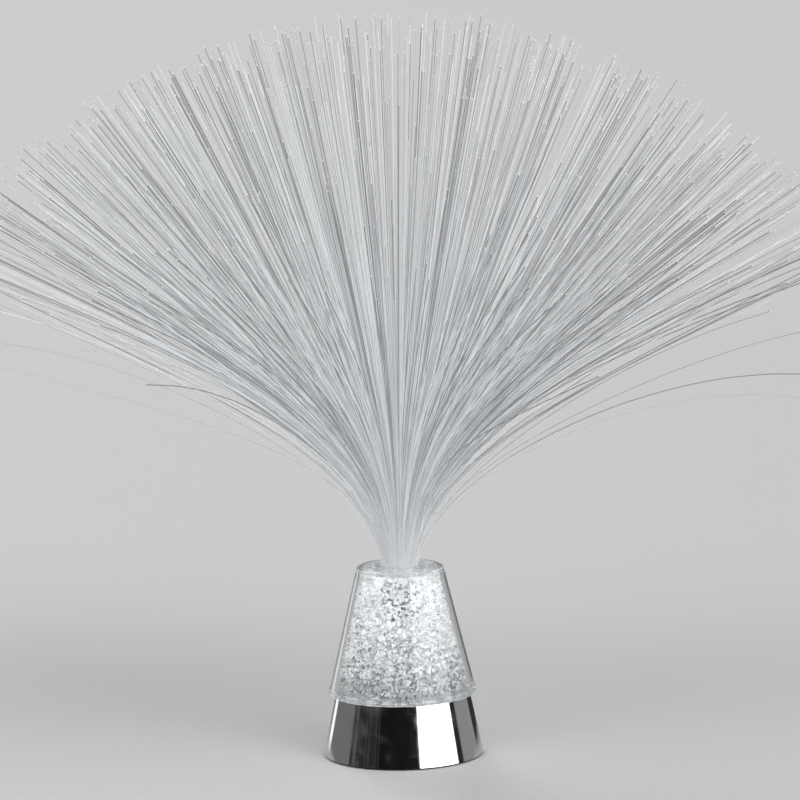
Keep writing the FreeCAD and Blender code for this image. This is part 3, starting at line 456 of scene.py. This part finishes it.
def crystal_surface(name, tone, clearness, glow):
    """One lit or shaded copy of the chip material for facets, with a faint cloud and a painted glow.
    Returns its material.
    """
    high = colour(tone, CRYSTAL_BLUE)
    made = Surface(name, high, 0.08, IOR=1.5, Transmission_Weight=clearness)
    low = colour(tone * CLOUD_DEPTH, CRYSTAL_BLUE)
    made.feed(made.ramp(made.noise(made.place, *CRYSTAL_CLOUDS), [(0.35, low), (0.6, high)]), "Base Color")
    made.feed(CRYSTAL_LIGHT, "Emission Color")
    # Towards the top the painted glow of every facet draws towards one level, which evens out the painted
    # shade
    top_painted_glow = glow + TOP_EVENNESS * (TOP_PAINTED_GLOW - glow)
    made.feed(made.by_height(made.place, ((CHIPS_LOW.z, glow), (CHIPS_HIGH.z, top_painted_glow))),
              "Emission Strength")
    return made.material


def fibre_surface(name, brightness, added_painted_glow):
    """Plastic fibre with painted light: whiter by the neck and greyer towards its tip, with a painted glow.
    Returns its material.
    """
    made = Surface(name, colour(180, 1.05), 0.24, IOR=1.49)
    from_neck = made.add("ShaderNodeVectorMath", operation="DISTANCE")
    made.put(made.place, from_neck.inputs[0])
    made.put(NECK, from_neck.inputs[1])
    share = made.maths("MULTIPLY", from_neck.outputs["Value"], 1 / STRAND_REACH)
    streak = made.maths("SUBTRACT", made.noise(made.place, FIBRE_STREAK_SCALE), 0.5)
    uneven = made.maths("ADD", share, made.maths("MULTIPLY", streak, FIBRE_STREAK_SHARE))
    stops = []
    for position, tone in FIBRE_PAINTED_TONES:
        tone *= 1 + (brightness - 1) * min(1.0, FIBRE_PAINTED_KIND_GROWTH * position)
        stops.append((position, colour(min(255, tone), FIBRE_BLUE)))
    made.feed(made.ramp(uneven, stops), "Base Color")
    glow = ((0.0, FIBRE_NECK_PAINTED_GLOW), (FIBRE_NEAR_SHARE, FIBRE_NEAR_PAINTED_GLOW * brightness),
            (1.0, FIBRE_END_PAINTED_GLOW * brightness + added_painted_glow))
    made.feed(made.levels(share, glow), "Emission Strength")
    made.feed(FIBRE_LIGHT, "Emission Color")
    return made.material


# Fibres

def finer(line):
    """The same line with a point added halfway along each leg, on a smooth curve through all."""
    ends = [2 * line[0] - line[1]] + line + [2 * line[-1] - line[-2]]
    found = [line[0]]
    for before, first, second, after in zip(ends, ends[1:], ends[2:], ends[3:]):
        found += [(9 * (first + second) - before - after) / 16, second]
    return found


class Strand:
    """A fibre's root, heading, lean, length, late droop, bend length and lean at its root."""

    def __init__(self, root, heading, lean, length, droop, bend, first_lean, smoothing=0):
        self.root, self.heading, self.lean, self.smoothing = root, heading, lean, smoothing
        self.length, self.droop, self.bend, self.first_lean = length, droop, bend, first_lean

    def reach(self):
        """The (outward, upward, angle) stations above the plug, with the angle in radians.

        The strand leans out fast at first and then ever more slowly, and may droop at its end.
        """
        out = up = done = 0.0
        stations = []
        for index in range(STRAND_STEPS):
            share = ((index + 1) / STRAND_STEPS) ** STRAND_STEP_GROWTH
            step = share * self.length - done
            middle = done + step / 2
            done += step
            lean = self.lean + (self.first_lean - self.lean) * math.exp(-middle / self.bend)
            angle = math.radians(lean + self.droop * share ** 2)
            out, up = out + step * math.sin(angle), up + step * math.cos(angle)
            stations.append((out, up, angle))
        return stations

    def aim_at(self, out, up):
        """Set the lean and length that bring the tip so far out and up from the root."""
        self.lean, self.length = math.degrees(math.atan2(out, up)), math.hypot(out, up)
        for attempt in range(AIM_ROUNDS):
            tip_out, tip_up, angle = self.reach()[-1]
            self.lean += math.degrees(math.atan2(out, up) - math.atan2(tip_out, tip_up))
            self.length *= math.hypot(out, up) / math.hypot(tip_out, tip_up)

    def points(self):
        """The centre line from the plug's foot, with a last short step for the bright tip."""
        turn = math.radians(self.heading)
        outward, upward = Vector((math.cos(turn), math.sin(turn), 0)), Vector((0, 0, 1))
        root = Vector((self.root.x, self.root.y, NECK.z))
        stations = self.reach()
        line = [root] + [root + out * outward + up * upward for out, up, angle in stations]
        for level in range(self.smoothing):
            line = finer(line)
        line.insert(0, Vector((root.x, root.y, PLUG_LOW.z)))
        angle = stations[-1][2]
        line.append(line[-1] + STRAND_TIP_LENGTH * (math.sin(angle) * outward + math.cos(angle) * upward))
        return line


def add_tube(vertices, faces, points, radius, sides):
    """A closed tube along points, as more vertices and faces.

    The last faces are the sides of its last leg, then the face at its foot and the one at its tip.
    """
    side = None
    first = len(vertices)
    for index, place in enumerate(points):
        along = points[min(index + 1, len(points) - 1)] - points[max(index - 1, 0)]
        along.normalize()
        if side is None:
            side = along.orthogonal().normalized()
        side = (side - side.dot(along) * along).normalized()
        across = along.cross(side)
        for corner in range(sides):
            turn = 2 * math.pi * corner / sides
            vertices.append(place + radius * (math.cos(turn) * side + math.sin(turn) * across))
    for index in range(len(points) - 1):
        low, high = first + index * sides, first + (index + 1) * sides
        for corner in range(sides):
            after = (corner + 1) % sides
            faces.append((low + corner, low + after, high + after, high + corner))
    last = first + (len(points) - 1) * sides
    faces.append(tuple(first + corner for corner in reversed(range(sides))))
    faces.append(tuple(last + corner for corner in range(sides)))


def packed_tips():
    """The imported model's own fibres, each as its root and its tip, both from the axis."""
    found = [(Vector((0, 0)), Vector((0, 0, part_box("fibre_middle")[1].z - NECK.z)))]
    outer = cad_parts["fibre_ring_%d" % PACKED_RING_COUNT].data.vertices
    feet = [vertex.co.xy.length for vertex in outer if vertex.co.z < PLUG_LOW.z + PACKED_FOOT_DEPTH]
    pitch = sum(feet) / len(feet) / PACKED_RING_COUNT
    for ring in range(1, PACKED_RING_COUNT + 1):
        count = 6 * ring
        ends = [[] for index in range(count)]
        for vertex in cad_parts["fibre_ring_%d" % ring].data.vertices:
            if (vertex.co - NECK).length > PACKED_TIP_DISTANCE:
                turn = math.atan2(vertex.co.y, vertex.co.x) / math.tau
                ends[round(turn * count) % count].append(vertex.co)
        for corners in ends:
            tip = sum(corners, Vector()) / len(corners) - NECK
            found.append((ring * pitch * tip.xy.normalized(), tip))
    return found


def strand_to(root, heading, out, up, slow=1.0):
    """A strand with its tip at a place.  The outer ones bend more slowly."""
    edge = slow * min(1.0, math.degrees(math.atan2(out, up)) / EDGE_ANGLE) ** 3
    bend = BEND_LENGTH + (EDGE_BEND_LENGTH - BEND_LENGTH) * edge
    strand = Strand(root, heading, 0.0, 0.0, 0.0, bend, EDGE_FIRST_LEAN * edge)
    strand.aim_at(out, up)
    return strand


def packed_strands(packed):
    """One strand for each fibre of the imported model."""
    for root, tip in packed:
        heading = math.degrees(math.atan2(tip.y, tip.x))
        out = max(0.0, tip.xy.length - root.length)
        yield strand_to(root, heading, out, tip.z - STRAND_TIP_LENGTH, PACKED_SLOW_SHARE)


def loose_strands(chance, packed):
    """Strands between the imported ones, each drawn some way towards the nearest of them."""
    spread = packed[-1][0].length
    clumps = []
    for root, tip in packed:
        angle = math.degrees(math.atan2(tip.xy.length - root.length, tip.z))
        clumps.append(angle * tip.xy.normalized() if tip.xy.length else Vector((0, 0)))
    count = STRAND_COUNT - len(packed) - len(STRAYS) - BACK_STRAY_COUNT
    for index in range(count):
        share = math.sqrt((index + 0.5) / count)
        turn = index * GOLDEN_TURN
        outward = Vector((math.cos(turn), math.sin(turn)))
        aim = SPRAY_ANGLE * share * outward
        aim += Vector((chance.gauss(0, AIM_SPREAD), chance.gauss(0, AIM_SPREAD)))
        near = min(clumps, key=lambda clump: (clump - aim).length)
        aim += chance.uniform(*CLUMP_PULL) * (near - aim)
        reach = STRAND_REACH + chance.uniform(-1, 1) * STRAND_REACH_SPREAD
        if chance.random() < SHORT_SHARE:
            reach -= chance.uniform(*SHORT_CUT_MM) * MM
        heading, angle = math.degrees(math.atan2(aim.y, aim.x)), math.radians(aim.length)
        yield strand_to(spread * share * outward, heading, reach * math.sin(angle), reach * math.cos(angle))


def stray_strands(chance, spread):
    """The strands that hang out of the spray."""
    back = [tuple(chance.uniform(*limits) for limits in BACK_STRAY_LIMITS)
            for index in range(BACK_STRAY_COUNT)]
    for heading, lean, droop, length in list(STRAYS) + back:
        turn = math.radians(heading)
        root = spread * Vector((math.cos(turn), math.sin(turn)))
        yield Strand(root, heading, lean, length * MM, droop, STRAY_BEND_LENGTH, STRAY_FIRST_LEAN,
                     STRAY_SMOOTHING)


def make_strands():
    """All the spray's fibres as one mesh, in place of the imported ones."""
    chance = random.Random(STRAND_SEED)
    packed = packed_tips()
    strands = list(packed_strands(packed))
    strands += loose_strands(chance, packed)
    strands += stray_strands(chance, packed[-1][0].length)
    vertices, faces, kinds = [], [], []
    for strand in strands:
        before = len(faces)
        add_tube(vertices, faces, strand.points(), STRAND_DIAMETER / 2, STRAND_SIDES)
        # Each strand gets a painted lit or shaded copy of the fibre material, and its tip the painted glow
        kinds += [chance.choice(FIBRE_BAG)] * (len(faces) - before)
        kinds[-1] = FIBRE_TIP
        kinds[-2 - STRAND_SIDES:-2] = [FIBRE_TIP] * STRAND_SIDES
    made = mesh_object("fibre_strands", vertices, faces, True)
    for name, brightness, glow in FIBRE_PAINTED_KINDS:
        made.data.materials.append(fibre_surface(name, brightness, glow))
    made.data.polygons.foreach_set("material_index", kinds)
    nodes = ["fibre_middle"] + ["fibre_ring_%d" % ring for ring in range(1, PACKED_RING_COUNT + 1)]
    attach(made, "spray")
    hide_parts(*nodes)


# Crystal chips

def cone_inside(height):
    """The radius of the cone's inner face at a height."""
    share = (height - FLANGE_TOP) / (CONE_TOP - FLANGE_TOP)
    return CONE_FOOT_RADIUS + share * (CONE_TOP_RADIUS - CONE_FOOT_RADIUS) - CONE_WALL


def fill_radius(height):
    """How far out the chips reach.  The fill draws in where it meets the flange and the tray."""
    if height < CHIPS_LOW.z:
        return TRAY_HIGH.x - TRAY_EDGE_SPACE
    corner = max(0.0, 1 - (height - CHIPS_LOW.z) / FOOT_CORNER_HEIGHT)
    return cone_inside(height) - WALL_SPACE - FOOT_CORNER_DEPTH * corner ** 2


def chip_shape(chance, size):
    """The corners and faces of one broken-looking chip."""
    shape = bmesh.new()
    long, wide = size / 2, size / 2 * chance.uniform(*CHIP_WIDTH_SHARES)
    for index in range(chance.randint(*CHIP_CORNER_COUNTS)):
        direction = Vector((chance.gauss(0, 1), chance.gauss(0, 1), chance.gauss(0, 1))).normalized()
        reach = chance.uniform(*CHIP_CORNER_REACHES)
        shape.verts.new((direction.x * long * reach, direction.y * wide * reach,
                         direction.z * wide * reach))
    result = bmesh.ops.convex_hull(shape, input=shape.verts)
    loose = {item for item in result["geom_interior"] if isinstance(item, bmesh.types.BMVert)}
    bmesh.ops.delete(shape, geom=list(loose), context="VERTS")
    shape.verts.index_update()
    corners = [vertex.co.copy() for vertex in shape.verts]
    faces = [tuple(vertex.index for vertex in face.verts) for face in shape.faces]
    shape.free()
    return corners, faces


def chip_place(chance, turn, radius, height, size):
    """A chip's place, a little off its station but inside the fill."""
    kept_in = size * CHIP_KEPT_IN_SHARE
    out = min(radius + chance.uniform(*CHIP_SHIFT_OUT_MM) * MM, fill_radius(height) - kept_in)
    rise = height + chance.uniform(*CHIP_SHIFT_UP_MM) * MM
    rise = min(max(rise, FILL_FLOOR + kept_in), CHIPS_HIGH.z - kept_in)
    return Vector((out * math.cos(turn), out * math.sin(turn), rise))


def random_turn(chance):
    """A turn about each axis, as one matrix."""
    about_x, about_y, about_z = [Matrix.Rotation(chance.uniform(0, math.tau), 3, axis) for axis in "XYZ"]
    return about_x @ about_y @ about_z


def painted_facet_kind(chance, bag, share):
    """A facet's kind of painted light, which is darker towards the foot (0) and lighter towards the top
    (1).
    """
    kind = chance.choice(bag)
    shaded = FOOT_SHADE_SHARE * (1 - share)
    kind += int(chance.random() < shaded) + int(chance.random() < shaded ** 3)
    kind -= int(chance.random() < TOP_PAINTED_LIGHT_SHARE * share)
    return min(max(kind, 0), len(PAINTED_FACET_KINDS) - 1)


def chip_stations(chance):
    """Where the chips go, each as its turn, radius, height, share of the fill's height and size."""
    room = CHIPS_HIGH.z - FILL_FLOOR
    layers = round(room / CHIP_STEP)
    for layer in range(layers):
        height = FILL_FLOOR + (layer + 0.5) / layers * room
        share = max(0.0, (height - CHIPS_LOW.z) / (CHIPS_HIGH.z - CHIPS_LOW.z))
        sizes = [foot + share * (top - foot) for foot, top in zip(CHIP_SIZE_FOOT, CHIP_SIZE_TOP)]
        for row in range(CHIP_ROW_COUNT):
            radius = fill_radius(height) - (row + 0.5) * CHIP_STEP
            count = int(2 * math.pi * radius / CHIP_STEP)
            offset = chance.uniform(0, math.tau)
            for index in range(count):
                shift = chance.uniform(-CHIP_SHIFT_ALONG, CHIP_SHIFT_ALONG)
                turn = offset + math.tau * (index + shift) / count
                yield turn, radius, height, share, chance.uniform(*sizes)


def make_crystals():
    """The cone's fill of chips as one mesh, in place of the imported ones."""
    chance = random.Random(CHIP_SEED)
    bag = [kind for kind, facet in enumerate(PAINTED_FACET_KINDS) for repeat in range(facet[-1])]
    vertices, faces, kinds = [], [], []
    for turn, radius, height, share, size in chip_stations(chance):
        place = chip_place(chance, turn, radius, height, size)
        spin = random_turn(chance)
        corners, sides = chip_shape(chance, size)
        first = len(vertices)
        vertices += [place + spin @ corner for corner in corners]
        faces += [tuple(first + corner for corner in side) for side in sides]
        # Each facet gets a painted lit or shaded copy of the chip material
        kinds += [painted_facet_kind(chance, bag, share) for side in sides]
    chips = mesh_object("crystal_chips", vertices, faces, False)
    for name, tone, clearness, glow, share in PAINTED_FACET_KINDS:
        chips.data.materials.append(crystal_surface(name, tone, clearness, glow))
    chips.data.polygons.foreach_set("material_index", kinds)
    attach(chips, "base")
    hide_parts("crystal_fill")


# Studio

def make_floor():
    """A wide pale floor.  Far from the lamp the gloss looks through it to the studio."""
    bpy.ops.mesh.primitive_circle_add(vertices=FLOOR_SIDES, radius=FLOOR_RADIUS, fill_type="NGON")
    floor = bpy.context.object
    floor.name = "studio_floor"
    made = Surface("studio_floor", colour(FLOOR_TONE), 0.7)
    away = made.add("ShaderNodeVectorMath", operation="LENGTH")
    made.link(made.place, away.inputs[0])
    far = made.levels(away.outputs["Value"], zip(FLOOR_UNSEEN_FROM, (0.0, 1.0)))
    mirrored = made.add("ShaderNodeLightPath").outputs["Is Glossy Ray"]
    unseen = made.add("ShaderNodeBsdfTransparent")
    made.show(made.mixed_shader(made.maths("MULTIPLY", far, mirrored), made.shader.outputs[0],
                                unseen.outputs[0]))
    floor.data.materials.append(made.material)


def azimuth_share(degrees):
    """Where a direction lies in a radial gradient.  0 is towards the camera, 90 to its right."""
    return (degrees / 360.0 + 0.25) % 1.0


def studio_sides(tree, place):
    """What the gloss sees all round: the bands, and faint smudges on the dark flag."""
    gradient = tree.add("ShaderNodeTexGradient", gradient_type="RADIAL")
    tree.link(place, gradient.inputs["Vector"])
    around = gradient.outputs["Fac"]
    stops = []
    for index, (azimuth, level) in enumerate(STUDIO_BANDS):
        before = STUDIO_BANDS[index - 1][1]
        stops += [(azimuth_share(azimuth - BAND_EDGE), before), (azimuth_share(azimuth + BAND_EDGE), level)]
    stops = sorted((share, (level, level, level * STUDIO_BLUE, 1.0)) for share, level in stops)
    bands = tree.ramp(around, stops)
    smudge = tree.levels(tree.noise(place, *SMUDGES), SMUDGE_LEVELS)
    flag = tree.levels(around, [(azimuth_share(azimuth), level) for azimuth, level in SMUDGE_AZIMUTHS])
    return tree.mixed_colour(1.0, bands, tree.maths("MULTIPLY", smudge, flag), "ADD")


def make_world():
    """A pale studio.  Gloss also sees its softbox on the right and dark flags at the front."""
    world = bpy.data.worlds.new("studio")
    bpy.context.scene.world = world
    tree = Tree(world)
    place = tree.add("ShaderNodeTexCoord").outputs["Generated"]
    above = tree.levels(tree.axis(place, "Z"), zip(CEILING_EDGE, (0.0, 1.0)))
    studio = tree.add("ShaderNodeBackground")
    tree.put(tree.mixed_colour(above, studio_sides(tree, place), CEILING), studio.inputs["Color"])
    backdrop = tree.add("ShaderNodeBackground")
    tree.put(colour(BACKDROP_TONE), backdrop.inputs["Color"])
    tree.put(BACKDROP_STRENGTH, backdrop.inputs["Strength"])
    path = tree.add("ShaderNodeLightPath")
    through = tree.maths("MINIMUM", path.outputs["Transmission Depth"], 1.0)
    mirrored = tree.maths("MULTIPLY", path.outputs["Is Glossy Ray"], tree.maths("SUBTRACT", 1.0, through))
    output = tree.add("ShaderNodeOutputWorld")
    tree.link(tree.mixed_shader(mirrored, backdrop.outputs[0], studio.outputs[0]),
              output.inputs["Surface"])


def make_lights():
    for name, azimuth, elevation, strength, softness in LAMPS:
        lamp = bpy.data.lights.new(name, "SUN")
        lamp.energy = strength
        lamp.angle = math.radians(softness)
        turn, rise = math.radians(azimuth), math.radians(elevation)
        level = math.cos(rise)
        source = Vector((math.sin(turn) * level, -math.cos(turn) * level, math.sin(rise)))
        made = add_to_scene(name, lamp)
        made.rotation_euler = source.to_track_quat("Z", "Y").to_euler()


def make_camera():
    data = bpy.data.cameras.new("camera")
    data.sensor_width = SENSOR_MM
    data.lens = SENSOR_MM * CAMERA_DISTANCE / PHOTO_WIDTH
    data.clip_end = VIEW_END
    camera = add_to_scene("camera", data)
    back = Vector((0, -math.cos(CAMERA_ELEVATION), math.sin(CAMERA_ELEVATION)))
    camera.location = TARGET + CAMERA_DISTANCE * back
    look = (-back).to_track_quat("-Z", "Y").to_matrix()
    camera.rotation_euler = (look @ Matrix.Rotation(-CAMERA_ROLL, 3, "Z")).to_euler()
    bpy.context.scene.camera = camera


bpy.context.scene.view_settings.view_transform = "Standard"
make_camera()
make_world()
make_lights()
make_floor()
chrome_surface()
clear_surface()
for plain in PLAIN_SURFACES:
    plain_surface(*plain)
make_strands()
make_crystals()

bpy.context.view_layer.update()
